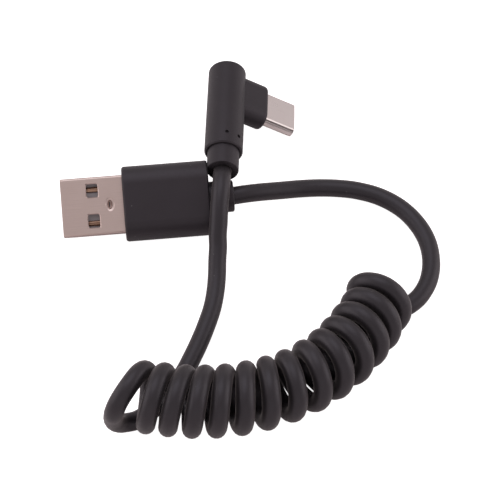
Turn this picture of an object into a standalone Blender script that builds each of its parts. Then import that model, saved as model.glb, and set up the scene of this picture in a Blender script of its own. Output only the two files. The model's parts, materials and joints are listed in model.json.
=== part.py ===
"""Coiled charging cable: a USB-A plug, a spring coil of cable and a right-angle USB-C plug.

Units are metres and +Z is up. The cable lies on a table at z = 0. The origin is below the
middle of the two plugs. Both plugs are modelled in a frame of their own and then placed.
"""
import math

import bmesh
import bpy
from mathutils import Matrix, Vector

MM = 0.001
GAP = 0.3 * MM
SHELL_STEP = 0.05 * MM        # a metal shell is this much slimmer inside its pocket

# Cable
LEAD_DIAMETER = 3.55 * MM
COIL_DIAMETER = 14.4 * MM
COIL_LIFT = 4.1 * MM          # the left turns lie on the lead that runs beneath them

# USB-A plug, measured back from the tip of its metal shell
A_SHELL_WIDTH = 12.0 * MM
A_SHELL_HEIGHT = 4.5 * MM
A_SHELL_WALL = 0.3 * MM
A_SHELL_CORNER = 0.75 * MM
A_EXPOSED = 12.8 * MM
A_BURIED = 1.1 * MM
A_HOLE_LENGTH = 2.4 * MM
A_HOLE_WIDTH = 2.75 * MM
A_HOLE_FROM_TIP = 6.5 * MM
A_HOLE_OFFSET = 3.15 * MM
A_DIMPLE_FROM_TIP = 10.0 * MM
A_TONGUE_CLEARANCE = 0.4 * MM
A_TONGUE_HEIGHT = 1.7 * MM
A_TONGUE_START = 0.5 * MM
A_CONTACT_OFFSETS = (-3.5 * MM, -1.0 * MM, 1.0 * MM, 3.5 * MM)
A_CONTACT_WIDTH = 1.1 * MM
A_CONTACT_THICKNESS = 0.2 * MM
A_POWER_START = 1.2 * MM      # the two outer contacts reach further forward
A_DATA_START = 2.0 * MM
A_CONTACT_END = 9.6 * MM
A_DIMPLE_LENGTH = 1.8 * MM
A_DIMPLE_WIDTH = 2.4 * MM
A_DIMPLE_DEPTH = 0.16 * MM
A_GRIP_LENGTH = 17.5 * MM
A_GRIP_WIDTH = 15.4 * MM
A_GRIP_HEIGHT = 8.0 * MM
A_NECK_DIAMETER = 6.5 * MM
A_NECK_LENGTH = 5.3 * MM

# USB-C plug, measured from the axis of its round body
C_BODY_DIAMETER = 8.1 * MM
C_HEAD = 6.2 * MM
C_TAIL = 16.6 * MM
C_BOSS_REACH = 9.2 * MM
C_BOSS_WIDTH = 10.7 * MM
C_BOSS_HEIGHT = 5.2 * MM
C_SHELL_WIDTH = 8.25 * MM
C_SHELL_HEIGHT = 2.4 * MM
C_SHELL_WALL = 0.25 * MM
C_RIM = 0.15 * MM
C_TIP = 16.5 * MM
C_BURIED = 0.9 * MM
C_INSERT_LENGTH = 2.2 * MM
C_CONTACT_THICKNESS = 0.16 * MM
C_COMB_ROOT = 0.6 * MM
C_COMB_MARGIN = 0.5 * MM
C_FINGER_LENGTH = 3.6 * MM
C_FINGER_WIDTH = 0.4 * MM
C_FINGERS = 7
C_MARK_DIAMETER = 0.7 * MM
C_MARK_BACK = 14.0 * MM        # from the plug's centreline towards the tail
C_MARK_ANGLE = math.radians(20.8)
C_MARK_DEPTH = 0.12 * MM
C_RELIEF_DIAMETER = 6.5 * MM
C_RELIEF_LENGTH = 4.5 * MM

# Where the plugs lie: a turn about Z, then a slope and a roll about the plug's own long axis
A_TIP = Vector((-23.95, -13.55, 5.88)) * MM
A_YAW = math.radians(5.47)
A_ROLL = math.radians(30.35)
C_ORIGIN = Vector((10.0, 14.18, 9.54)) * MM
C_YAW = math.radians(-1.64)
C_SLOPE = math.radians(-2.8)
C_DIP = math.radians(30.59)

# Routes in mm, picked by hand
COIL_AXIS = [
    (-6.0, -60.9), (-0.9, -61.3), (3.3, -61.4), (7.5, -61.1), (11.9, -60.4), (16.2, -59.2),
    (20.4, -57.4), (24.4, -55.2), (28.2, -52.7), (31.6, -49.7), (34.7, -46.4), (37.3, -43.0),
    (39.5, -39.4), (41.2, -35.9)]
LEAD_A = [
    (11.8, -10.13, 5.88), (14.0, -9.8, 5.8), (17.1, -8.6, 5.0), (21.4, -7.0, 3.6), (25.6, -5.7, 2.5),
    (29.9, -5.1, 2.0), (34.2, -5.2, 1.9), (38.2, -5.8, 1.9), (42.5, -7.4, 1.9), (46.7, -10.2, 1.9),
    (49.7, -13.9, 1.9), (51.8, -18.6, 1.9), (52.4, -23.6, 1.9), (51.6, -28.4, 1.9),
    (50.7, -30.4, 1.9), (49.5, -32.2, 1.9), (47.6, -33.9, 2.0), (45.9, -35.4, 2.4),
    (44.95, -37.33, 2.6)]
LEAD_C = [
    (9.38, -7.46, 10.6), (9.36, -7.9, 10.66), (9.32, -8.5, 10.85), (9.26, -9.37, 11.12), (9.19, -10.68, 11.22),
    (9.1, -12.12, 11.07), (8.99, -13.62, 10.69), (8.85, -15.16, 10.02), (8.67, -16.83, 9.19), (8.47, -18.77, 8.04),
    (8.39, -20.9, 6.79), (8.34, -23.04, 5.56), (8.31, -25.28, 4.49), (8.21, -27.58, 3.53), (8.05, -30.02, 2.79),
    (7.73, -32.82, 2.27), (7.06, -35.96, 1.97), (6.1, -39.46, 1.9), (4.93, -42.96, 1.9), (3.7, -46.3, 1.9),
    (1.6, -49.8, 1.9), (-0.8, -53.4, 1.9), (-2.9, -56.3, 1.9), (-4.4, -58.3, 1.9), (-6.3, -60.2, 1.9),
    (-8.2, -61, 1.9), (-9.9, -61.5, 2.5), (-11, -61.8, 4), (-11.3, -61.6, 5.8), (-10.9, -61.2, 8.2),
    (-9.6, -60.9, 10.2), (-8, -60.8, 11), (-6.35, -60.87, 11.3)]


def new_collection(name):
    collection = bpy.data.collections.new(name)
    bpy.context.scene.collection.children.link(collection)
    return collection


def new_material(name, colour, metallic=0.0, roughness=0.5):
    material = bpy.data.materials.new(name)
    material.use_nodes = True
    bsdf = material.node_tree.nodes["Principled BSDF"]
    bsdf.inputs["Base Color"].default_value = (*colour, 1.0)
    bsdf.inputs["Metallic"].default_value = metallic
    bsdf.inputs["Roughness"].default_value = roughness
    return material


def stadium(width, height, segments=12):
    """Outline of a slot with round ends, `width` along Y and `height` along Z."""
    radius = height / 2
    straight = width / 2 - radius
    points = []
    for side in (1, -1):
        for i in range(segments + 1):
            angle = side * (-math.pi / 2) + side * math.pi * i / segments
            if side == 1:
                points.append((straight + radius * math.cos(angle), radius * math.sin(angle)))
            else:
                points.append((-straight - radius * math.cos(angle), radius * math.sin(angle)))
    return points


def rounded_box(width, height, corner, segments=4):
    """Outline of a rectangle with rounded corners, `width` along Y and `height` along Z."""
    points = []
    for quarter in range(4):
        cy = (width / 2 - corner) * (1 if quarter in (0, 3) else -1)
        cz = (height / 2 - corner) * (1 if quarter in (0, 1) else -1)
        for i in range(segments + 1):
            angle = math.pi / 2 * (quarter + i / segments)
            points.append((cy + corner * math.cos(angle), cz + corner * math.sin(angle)))
    return points


def loft(name, rings):
    """Closed solid through rings of equal length, each a list of 3-D points."""
    bm = bmesh.new()
    rows = [[bm.verts.new(p) for p in ring] for ring in rings]
    count = len(rows[0])
    for a, b in zip(rows, rows[1:]):
        for i in range(count):
            j = (i + 1) % count
            bm.faces.new((a[i], a[j], b[j], b[i]))
    bm.faces.new(list(reversed(rows[0])))
    bm.faces.new(rows[-1])
    bmesh.ops.recalc_face_normals(bm, faces=bm.faces)
    mesh = bpy.data.meshes.new(name)
    bm.to_mesh(mesh)
    bm.free()
    return bpy.data.objects.new(name, mesh)


def along_x(outline, x):
    return [Vector((x, y, z)) for y, z in outline]


def round_ring(radius, along, axis, count, phase=0.0):
    """Ring of points about the Y axis (axis "Y") or the X axis (axis "X")."""
    ring = []
    for i in range(count):
        angle = phase + 2 * math.pi * i / count
        u, v = radius * math.cos(angle), radius * math.sin(angle)
        ring.append(Vector((u, along, v)) if axis == "Y" else Vector((along, u, v)))
    return ring


def box(name, size, centre):
    bm = bmesh.new()
    bmesh.ops.create_cube(bm, size=1.0, matrix=Matrix.Translation(centre) @ Matrix.Diagonal((*size, 1.0)))
    mesh = bpy.data.meshes.new(name)
    bm.to_mesh(mesh)
    bm.free()
    return bpy.data.objects.new(name, mesh)


def smooth_route(points_mm, steps):
    """Catmull-Rom curve through a route, `steps` points to each stretch."""
    pts = [Vector(p) * MM for p in points_mm]
    ends = [2 * pts[0] - pts[1], *pts, 2 * pts[-1] - pts[-2]]
    out = []
    for p0, p1, p2, p3 in zip(ends, ends[1:], ends[2:], ends[3:]):
        for i in range(steps):
            t = i / steps
            out.append(0.5 * (2 * p1 + (p2 - p0) * t + (2 * p0 - 5 * p1 + 4 * p2 - p3) * t * t
                              + (3 * p1 - p0 - 3 * p2 + p3) * t ** 3))
    return [*out, pts[-1]]


def tube(name, points, diameter, resolution):
    """Tube along a row of points, made with a bevelled curve."""
    curve = bpy.data.curves.new(name, "CURVE")
    curve.dimensions = "3D"
    curve.bevel_depth = diameter / 2
    curve.bevel_resolution = resolution
    curve.use_fill_caps = True
    curve.resolution_u = 1
    curve.render_resolution_u = 0
    spline = curve.splines.new("POLY")
    spline.points.add(len(points) - 1)
    for point, position in zip(spline.points, points):
        point.co = (*position, 1.0)
    return bpy.data.objects.new(name, curve)


def add_boolean(target, cutter, operation="DIFFERENCE"):
    modifier = target.modifiers.new(f"cut {cutter.name}", "BOOLEAN")
    modifier.operation = operation
    modifier.solver = "EXACT"
    modifier.object = cutter


def coil_height(share):
    """Height of the coil's lowest edge over the table, at a share 0 to 1 of its length."""
    t = min(max((share - 0.17) / 0.40, 0.0), 1.0)
    return COIL_LIFT * (1 - t * t * (3 - 2 * t))


class Builder:
    """Keeps the collections, and places each finished piece or cutter."""

    def __init__(self):
        self.parts = new_collection("parts")
        self.cutters = new_collection("cutters")
        self.placement = Matrix.Identity(4)

    def part(self, obj, material):
        obj.data.materials.append(material)
        obj.matrix_world = self.placement
        self.parts.objects.link(obj)
        return obj

    def cutter(self, obj):
        obj.matrix_world = self.placement
        obj.hide_render = True
        obj.display_type = "WIRE"
        self.cutters.objects.link(obj)
        return obj


def build_usb_a(b, metal, plastic, gold, rubber):
    b.placement = (Matrix.Translation(A_TIP) @ Matrix.Rotation(A_YAW, 4, "Z")
                   @ Matrix.Rotation(A_ROLL, 4, "X"))
    end = A_EXPOSED + A_BURIED

    # Metal shell: a thin open tube with four spring holes and a dimple on each broad face
    outer = rounded_box(A_SHELL_WIDTH, A_SHELL_HEIGHT, A_SHELL_CORNER)
    buried = rounded_box(A_SHELL_WIDTH - 2 * SHELL_STEP, A_SHELL_HEIGHT - 2 * SHELL_STEP,
                         A_SHELL_CORNER - SHELL_STEP)
    inner = rounded_box(A_SHELL_WIDTH - 2 * A_SHELL_WALL, A_SHELL_HEIGHT - 2 * A_SHELL_WALL,
                        A_SHELL_CORNER - A_SHELL_WALL)
    shell = b.part(loft("usb_a_shell", [
        along_x(outer, 0.0), along_x(outer, A_EXPOSED - 2 * SHELL_STEP),
        along_x(buried, A_EXPOSED - SHELL_STEP), along_x(buried, end)]), metal)
    add_boolean(shell, b.cutter(loft("cut_a_bore", [along_x(inner, -MM), along_x(inner, end + MM)])))
    for side in (1, -1):
        tag = "up" if side == 1 else "down"
        hole = b.cutter(box(f"cut_a_hole_{tag}", (A_HOLE_LENGTH, A_HOLE_WIDTH, 1.0 * MM),
                            Vector((A_HOLE_FROM_TIP, side * A_HOLE_OFFSET, A_SHELL_HEIGHT / 2))))
        add_boolean(shell, hole)
        back = b.cutter(box(f"cut_a_back_{tag}", (A_HOLE_LENGTH, A_HOLE_WIDTH, 1.0 * MM),
                            Vector((A_HOLE_FROM_TIP, side * A_HOLE_OFFSET, -A_SHELL_HEIGHT / 2))))
        add_boolean(shell, back)
    rings = []
    for scale, z in ((1.0, A_DIMPLE_DEPTH), (1.0, -A_DIMPLE_DEPTH / 8), (0.6, -A_DIMPLE_DEPTH)):
        rings.append([Vector((
            A_DIMPLE_FROM_TIP + A_DIMPLE_LENGTH / 2 * scale * math.cos(2 * math.pi * i / 20),
            A_DIMPLE_WIDTH / 2 * scale * math.sin(2 * math.pi * i / 20),
            A_SHELL_HEIGHT / 2 + z)) for i in range(20)])
    add_boolean(shell, b.cutter(loft("cut_a_dimple", rings)))

    # Tongue on the far side of the hollow, and its four contacts
    floor = -(A_SHELL_HEIGHT / 2 - A_SHELL_WALL) + GAP
    tongue_width = A_SHELL_WIDTH - 2 * A_SHELL_WALL - 2 * A_TONGUE_CLEARANCE
    b.part(box("usb_a_tongue", (end - A_TONGUE_START, tongue_width, A_TONGUE_HEIGHT),
               Vector(((end + A_TONGUE_START) / 2, 0.0, floor + A_TONGUE_HEIGHT / 2))), plastic)
    contact_z = floor + A_TONGUE_HEIGHT + GAP + A_CONTACT_THICKNESS / 2
    for number, offset in enumerate(A_CONTACT_OFFSETS, start=1):
        start = A_POWER_START if number in (1, 4) else A_DATA_START
        b.part(box(f"usb_a_contact_{number}",
                   (A_CONTACT_END - start, A_CONTACT_WIDTH, A_CONTACT_THICKNESS),
                   Vector(((A_CONTACT_END + start) / 2, offset, contact_z))), gold)

    # Grip with a short neck in one piece, and a pocket that the shell sits in
    front = A_EXPOSED
    back = front + A_GRIP_LENGTH
    neck_end = back + A_NECK_LENGTH
    rings = []
    for x, inset in ((front, 0.9), (front + 0.12 * MM, 0.45), (front + 0.45 * MM, 0.12),
                     (front + 0.9 * MM, 0.0), (back - 0.9 * MM, 0.0), (back - 0.45 * MM, 0.12),
                     (back - 0.12 * MM, 0.45), (back, 0.9)):
        rings.append(along_x(stadium(A_GRIP_WIDTH - 2 * inset * MM, A_GRIP_HEIGHT - 2 * inset * MM), x))
    count = len(rings[0])
    radius = A_NECK_DIAMETER / 2
    for r, x in ((radius, back + 0.01 * MM), (radius, neck_end - 0.25 * MM), (radius - 0.25 * MM, neck_end)):
        rings.append(round_ring(r, x, "X", count, phase=math.pi / count - math.pi / 2))
    grip = b.part(loft("usb_a_overmold", rings), rubber)
    pocket = rounded_box(A_SHELL_WIDTH + 2 * GAP, A_SHELL_HEIGHT + 2 * GAP, A_SHELL_CORNER + GAP)
    add_boolean(grip, b.cutter(loft("cut_a_pocket", [along_x(pocket, front - MM),
                                                     along_x(pocket, end + GAP)])))


def build_usb_c(b, metal, plastic, gold, rubber):
    b.placement = (Matrix.Translation(C_ORIGIN) @ Matrix.Rotation(C_YAW, 4, "Z")
                   @ Matrix.Rotation(C_SLOPE, 4, "X") @ Matrix.Rotation(C_DIP, 4, "Y"))
    shell_start = C_BOSS_REACH - C_BURIED

    # Round body with the boss that carries the metal shell, and two small moulding marks
    radius = C_BODY_DIAMETER / 2
    rings = [round_ring(r, y, "Y", 48) for r, y in (
        (radius - 0.35 * MM, -C_TAIL), (radius, -C_TAIL + 0.35 * MM), (radius, C_HEAD - 0.8 * MM),
        (radius - 0.12 * MM, C_HEAD - 0.4 * MM), (radius - 0.4 * MM, C_HEAD - 0.1 * MM),
        (radius - 0.9 * MM, C_HEAD))]
    body = b.part(loft("usb_c_overmold", rings), rubber)
    rings = [along_x(stadium(C_BOSS_WIDTH - 2 * inset * MM, C_BOSS_HEIGHT - 2 * inset * MM), x)
             for x, inset in ((1.0 * MM, 0.0), (C_BOSS_REACH - 0.6 * MM, 0.0),
                              (C_BOSS_REACH - 0.2 * MM, 0.15), (C_BOSS_REACH, 0.5))]
    add_boolean(body, b.cutter(loft("add_c_boss", rings)), "UNION")
    pocket = stadium(C_SHELL_WIDTH + 2 * GAP, C_SHELL_HEIGHT + 2 * GAP)
    add_boolean(body, b.cutter(loft("cut_c_pocket", [along_x(pocket, shell_start - GAP),
                                                     along_x(pocket, C_BOSS_REACH + MM)])))
    for number, angle in enumerate((math.pi / 2 - C_MARK_ANGLE, math.pi / 2 + C_MARK_ANGLE), start=1):
        out = Vector((math.cos(angle), 0.0, math.sin(angle)))
        side = Vector((-math.sin(angle), 0.0, math.cos(angle)))
        centre = Vector((0.0, -C_MARK_BACK, 0.0)) + out * radius
        rings = []
        for reach in (-C_MARK_DEPTH, 0.5 * MM):
            rings.append([centre + out * reach
                          + side * (C_MARK_DIAMETER / 2 * math.cos(2 * math.pi * i / 16))
                          + Vector((0.0, C_MARK_DIAMETER / 2 * math.sin(2 * math.pi * i / 16), 0.0))
                          for i in range(16)])
        add_boolean(body, b.cutter(loft(f"cut_c_mark_{number}", rings)))

    # Strain relief at the tail
    tail = -C_TAIL - GAP
    relief = C_RELIEF_DIAMETER / 2
    rings = [round_ring(r, y, "Y", 40) for r, y in (
        (relief, tail), (relief, tail - C_RELIEF_LENGTH + 0.2 * MM),
        (relief - 0.2 * MM, tail - C_RELIEF_LENGTH))]
    b.part(loft("usb_c_strain_relief", rings), rubber)

    # Metal shell, an open tube
    outer = stadium(C_SHELL_WIDTH, C_SHELL_HEIGHT)
    inner = stadium(C_SHELL_WIDTH - 2 * C_SHELL_WALL, C_SHELL_HEIGHT - 2 * C_SHELL_WALL)
    rim = stadium(C_SHELL_WIDTH - 2 * C_RIM, C_SHELL_HEIGHT - 2 * C_RIM)
    buried = stadium(C_SHELL_WIDTH - 2 * SHELL_STEP, C_SHELL_HEIGHT - 2 * SHELL_STEP)
    shell = b.part(loft("usb_c_shell", [
        along_x(buried, shell_start), along_x(buried, C_BOSS_REACH + SHELL_STEP),
        along_x(outer, C_BOSS_REACH + 2 * SHELL_STEP), along_x(outer, C_TIP - C_RIM),
        along_x(rim, C_TIP)]), metal)
    add_boolean(shell, b.cutter(loft("cut_c_bore", [along_x(inner, shell_start - MM),
                                                    along_x(inner, C_TIP + MM)])))

    # Insulator at the back of the hollow, and a comb of contacts on each side of it
    half = C_SHELL_HEIGHT / 2 - C_SHELL_WALL - GAP
    width = C_SHELL_WIDTH - 2 * C_SHELL_WALL - 2 * GAP
    block = stadium(width, 2 * half)
    insert_end = shell_start + C_INSERT_LENGTH
    b.part(loft("usb_c_insert", [along_x(block, shell_start), along_x(block, insert_end)]), plastic)
    root = insert_end + GAP
    comb_width = width - 2 * C_COMB_MARGIN
    pitch = (comb_width - C_FINGER_WIDTH) / (C_FINGERS - 1)
    for side, tag in ((1, "upper"), (-1, "lower")):
        z = side * (half - C_CONTACT_THICKNESS / 2)
        comb = b.part(box(f"usb_c_contacts_{tag}", (C_COMB_ROOT, comb_width, C_CONTACT_THICKNESS),
                          Vector((root + C_COMB_ROOT / 2, 0.0, z))), gold)
        for finger in range(C_FINGERS):
            y = (finger - (C_FINGERS - 1) / 2) * pitch
            start = root + C_COMB_ROOT / 3
            strip = box(f"add_c_finger_{tag}_{finger + 1}",
                        (C_FINGER_LENGTH, C_FINGER_WIDTH, C_CONTACT_THICKNESS),
                        Vector((start + C_FINGER_LENGTH / 2, y, z)))
            add_boolean(comb, b.cutter(strip), "UNION")


def build_cable(b, rubber):
    b.placement = Matrix.Identity(4)
    b.part(tube("lead_a", smooth_route(LEAD_A, 1), LEAD_DIAMETER, 2), rubber)
    b.part(tube("lead_c", smooth_route(LEAD_C, 1), LEAD_DIAMETER, 2), rubber)
    last = len(COIL_AXIS) - 1
    axis = [(x, y, COIL_DIAMETER / 2 / MM + coil_height(i / last) / MM)
            for i, (x, y) in enumerate(COIL_AXIS)]
    b.part(tube("coil", smooth_route(axis, 2), COIL_DIAMETER, 8), rubber)


def main():
    for obj in list(bpy.data.objects):
        bpy.data.objects.remove(obj)
    b = Builder()
    metal_a = new_material("nickel_a", (0.60, 0.54, 0.52), 1.0, 0.28)
    metal_c = new_material("nickel_c", (0.74, 0.69, 0.67), 1.0, 0.22)
    gold = new_material("contact_gold", (0.75, 0.40, 0.15), 1.0, 0.35)
    plastic = new_material("insulator", (0.12, 0.12, 0.12), 0.0, 0.6)
    rubber = new_material("black_rubber", (0.030, 0.028, 0.027), 0.0, 0.6)
    build_usb_a(b, metal_a, plastic, gold, rubber)
    build_usb_c(b, metal_c, plastic, gold, rubber)
    build_cable(b, rubber)


main()
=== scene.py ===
"""Looks for a coiled charging cable with a USB-A plug and a right-angle USB-C plug.

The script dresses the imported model: it lays the cable as one smooth cord, models both plugs in
detail, gives every piece a procedural material, and sets up the camera and a soft studio.
Lengths in the code are millimetres times MM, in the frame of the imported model.
"""
from __future__ import annotations

import json
import logging
import math
from dataclasses import dataclass
from enum import Enum
from typing import Iterable, Sequence

import bmesh
import bpy
from bmesh.types import BMEdge, BMesh
from bpy.types import ID, Material, Node, NodeOutputs, NodeSocket, NodeTree, Object
from mathutils import Matrix, Vector

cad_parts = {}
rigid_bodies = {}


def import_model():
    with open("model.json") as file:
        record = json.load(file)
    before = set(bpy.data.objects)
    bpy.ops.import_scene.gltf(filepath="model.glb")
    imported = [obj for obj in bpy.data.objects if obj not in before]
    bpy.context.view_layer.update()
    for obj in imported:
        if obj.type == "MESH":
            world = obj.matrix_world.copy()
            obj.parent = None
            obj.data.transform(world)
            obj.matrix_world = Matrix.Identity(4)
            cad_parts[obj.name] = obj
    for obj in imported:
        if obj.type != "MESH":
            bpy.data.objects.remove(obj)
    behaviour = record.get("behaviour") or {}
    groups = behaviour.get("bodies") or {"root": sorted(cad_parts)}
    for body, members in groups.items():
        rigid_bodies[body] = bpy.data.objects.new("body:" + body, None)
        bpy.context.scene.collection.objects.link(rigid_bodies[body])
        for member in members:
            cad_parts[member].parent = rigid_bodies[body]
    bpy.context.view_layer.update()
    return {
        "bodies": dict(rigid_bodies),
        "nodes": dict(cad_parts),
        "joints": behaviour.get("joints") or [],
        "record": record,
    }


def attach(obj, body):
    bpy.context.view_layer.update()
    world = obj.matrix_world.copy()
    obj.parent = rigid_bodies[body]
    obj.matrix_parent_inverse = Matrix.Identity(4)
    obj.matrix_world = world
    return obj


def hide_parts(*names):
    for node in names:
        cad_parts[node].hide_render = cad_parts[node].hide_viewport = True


Triple = tuple[float, float, float]
Pairs = tuple[tuple[float, float], ...]

MM = 0.001
BODY = "root"
LOG = logging.getLogger("coiled_cable")
PICTURE = 500
SENSOR_MM = 36.0
CAMERA_RISE = math.radians(56.5)
WELD = 1e-7                    # points closer than this become one
SHARP_DEGREES = 38.0           # edges steeper than this stay sharp in the shading
OVERRUN = 1.0 * MM             # a cutting shape runs this far past the face that it cuts
SHORT_OF_ROUND = 0.01 * MM     # a full round side keeps this much of a flat
POCKET_CLEARANCE = 0.3 * MM
POCKET_LENGTH = 4.0 * MM
CABLE_DIAMETER = 3.76 * MM
CABLE_HOLE = 3.96 * MM


class Slot(Enum):
    """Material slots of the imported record."""

    RUBBER = "black_rubber"
    METAL_A = "shell_metal_a"
    METAL_C = "shell_metal_c"
    GOLD = "contact_gold"
    INSULATOR = "insulator"


class Cut(Enum):
    """What a tool shape does to the piece it meets."""

    REMOVE = "DIFFERENCE"
    JOIN = "UNION"


# Materials


class Wiring:
    """Adds and joins the nodes of one shader node tree."""

    def __init__(self, tree: NodeTree) -> None:
        """Keep the tree to build in."""
        self.tree = tree

    def node(self, kind: str, **settings: object) -> Node:
        """Add a node and set its properties."""
        made = self.tree.nodes.new(kind)
        for key, value in settings.items():
            setattr(made, key, value)
        return made

    def link(self, source: object, target: NodeSocket) -> None:
        """Lead a socket into an input, or set the input to a constant."""
        if isinstance(source, NodeSocket):
            self.tree.links.new(source, target)
        else:
            target.default_value = source

    def feed(self, node: Node, *ordered: object, **sources: object) -> NodeOutputs:
        """Lead sockets or constants into a node's inputs.

        Args:
            node: The node.
            *ordered: Sockets or constants for its first inputs, in their order.
            **sources: Sockets or constants by the input's name, with underscores for spaces.

        Returns:
            The node's outputs.
        """
        for socket, source in zip(node.inputs, ordered):
            self.link(source, socket)
        for key, source in sources.items():
            self.link(source, node.inputs[key.replace("_", " ")])
        return node.outputs

    def remap(self, value: NodeSocket, low: float, high: float,
              to_low: float = 0.0, to_high: float = 1.0) -> NodeSocket:
        """Map a range of a value to another one, clamped.

        Args:
            value: Socket to read.
            low: Value that becomes to_low.
            high: Value that becomes to_high.
            to_low: Result at the low end.
            to_high: Result at the high end.

        Returns:
            The mapped value's socket.
        """
        return self.feed(self.node("ShaderNodeMapRange"), Value=value, From_Min=low, From_Max=high,
                         To_Min=to_low, To_Max=to_high)["Result"]

    def show_camera(self, seen: NodeSocket, plain: NodeSocket, target: NodeSocket) -> None:
        """Show one shader to the camera and another to everything else.

        Args:
            seen: Shader for the camera.
            plain: Shader for light and reflections.
            target: Input of the output node.
        """
        for_camera = self.node("ShaderNodeLightPath").outputs["Is Camera Ray"]
        self.link(self.feed(self.node("ShaderNodeMixShader"), for_camera, plain, seen)[0], target)


class GroupBuilder(Wiring):
    """Builds a shader node group with named inputs and outputs."""

    def __init__(self, name: str, inputs: dict[str, float], outputs: Sequence[str]) -> None:
        """Start an empty group that reads a vector and some values.

        Args:
            name: Name of the group.
            inputs: Name and default of each value input.
            outputs: Names of the outputs: values, and a vector where the name is Normal.
        """
        super().__init__(bpy.data.node_groups.new(name, "ShaderNodeTree"))
        self.tree.interface.new_socket("Vector", in_out="INPUT", socket_type="NodeSocketVector")
        for label, default in inputs.items():
            socket = self.tree.interface.new_socket(label, in_out="INPUT", socket_type="NodeSocketFloat")
            socket.default_value = default
        for label in outputs:
            kind = "NodeSocketVector" if label == "Normal" else "NodeSocketFloat"
            self.tree.interface.new_socket(label, in_out="OUTPUT", socket_type=kind)
        self.inside = self.node("NodeGroupInput").outputs
        self.result = self.node("NodeGroupOutput")

    def math(self, operation: str, first: object, second: object = 0.0) -> NodeSocket:
        """Add a Math node.

        Args:
            operation: Blender's name of the operation.
            first: A socket or a number.
            second: A socket or a number.

        Returns:
            The node's output socket.
        """
        return self.feed(self.node("ShaderNodeMath", operation=operation), first, second)[0]

    def per_mm(self, label: str) -> NodeSocket:
        """Texture scale that gives features the size of an input in millimetres."""
        return self.math("DIVIDE", 1.0 / MM, self.inside[label])

    def noise(self, vector: NodeSocket, scale: object, detail: float) -> NodeSocket:
        """Add a noise texture.

        Args:
            vector: Coordinates that it follows.
            scale: A socket or a number.
            detail: Number of finer layers.

        Returns:
            The noise's socket.
        """
        return self.feed(self.node("ShaderNodeTexNoise"), Vector=vector, Scale=scale, Detail=detail)["Fac"]

    def bump(self, height: NodeSocket, distance: float) -> NodeSocket:
        """Add a bump with the strength of the group's input Depth.

        Args:
            height: Socket of the height.
            distance: Full height in metres.

        Returns:
            The bumped normal's socket.
        """
        return self.feed(self.node("ShaderNodeBump"), Distance=distance, Strength=self.inside["Depth"],
                         Height=height)["Normal"]

    def give(self, **sockets: NodeSocket) -> NodeTree:
        """Lead sockets to the outputs of the same names and return the group."""
        self.feed(self.result, **sockets)
        return self.tree


def grain_group() -> NodeTree:
    """Fine moulded grain: uneven roughness, cloudy tone and a shallow bump."""
    g = GroupBuilder("moulded grain", {"Grain Size": 0.25, "Depth": 0.2, "Cloud Size": 6.0},
                     ("Tone", "Rough", "Normal"))
    fine = g.noise(g.inside["Vector"], g.per_mm("Grain Size"), detail=2.0)
    cloud = g.noise(g.inside["Vector"], g.per_mm("Cloud Size"), detail=3.0)
    return g.give(Tone=g.remap(cloud, 0.3, 0.7), Rough=g.remap(fine, 0.3, 0.7, -1.0, 1.0),
                  Normal=g.bump(fine, distance=0.05 * MM))


def brush_group() -> NodeTree:
    """Fine drawn lines along the local X axis, as rolled and plated sheet has."""
    g = GroupBuilder("drawn lines", {"Line Width": 0.08, "Line Length": 6.0, "Depth": 0.1},
                     ("Lines", "Stain", "Normal"))
    across, along = g.per_mm("Line Width"), g.per_mm("Line Length")
    scales = g.feed(g.node("ShaderNodeCombineXYZ"), X=along, Y=across, Z=across)
    stretched = g.feed(g.node("ShaderNodeVectorMath", operation="MULTIPLY"), g.inside["Vector"],
                       scales["Vector"])
    lines = g.noise(stretched[0], 1.0, detail=3.0)
    stain = g.noise(g.inside["Vector"], 0.35 / MM, detail=4.0)
    return g.give(Lines=g.remap(lines, 0.25, 0.75), Stain=g.remap(stain, 0.35, 0.7),
                  Normal=g.bump(lines, distance=0.02 * MM))


def dust_group() -> NodeTree:
    """Sparse pale specks, such as the lint that soft rubber picks up."""
    g = GroupBuilder("lint specks", {"Spacing": 2.5, "Amount": 0.5}, ("Mask",))
    cells = g.feed(g.node("ShaderNodeTexVoronoi", feature="F1"), Vector=g.inside["Vector"],
                   Scale=g.per_mm("Spacing"))
    spots = g.remap(cells["Distance"], 0.035, 0.055, 1.0, 0.0)
    split = g.feed(g.node("ShaderNodeSeparateColor"), Color=cells["Color"])
    chosen = g.remap(split[0], 0.55, 0.6)
    return g.give(Mask=g.math("MULTIPLY", g.math("MULTIPLY", spots, chosen), g.inside["Amount"]))


def painted_reflection_group() -> NodeTree:
    """Painted dark reflection: two dark lines at one distance on either side of a plug's middle plane."""
    g = GroupBuilder("painted reflection lines", {"Distance": 1.0, "Half Width": 0.1}, ("Mask",))
    split = g.feed(g.node("ShaderNodeSeparateXYZ"), Vector=g.inside["Vector"])
    side = g.math("MULTIPLY", g.math("ABSOLUTE", split["Y"]), 1.0 / MM)
    away = g.math("ABSOLUTE", g.math("SUBTRACT", side, g.inside["Distance"]))
    return g.give(Mask=g.remap(g.math("DIVIDE", away, g.inside["Half Width"]), 0.4, 1.0, 1.0, 0.0))


class Groups:
    """The shared node groups, each built once."""

    def __init__(self) -> None:
        """Build the groups."""
        self.grain = grain_group()
        self.brush = brush_group()
        self.dust = dust_group()
        # Painted dark reflection lines for the creases of a shell.
        self.painted_reflection = painted_reflection_group()


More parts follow.
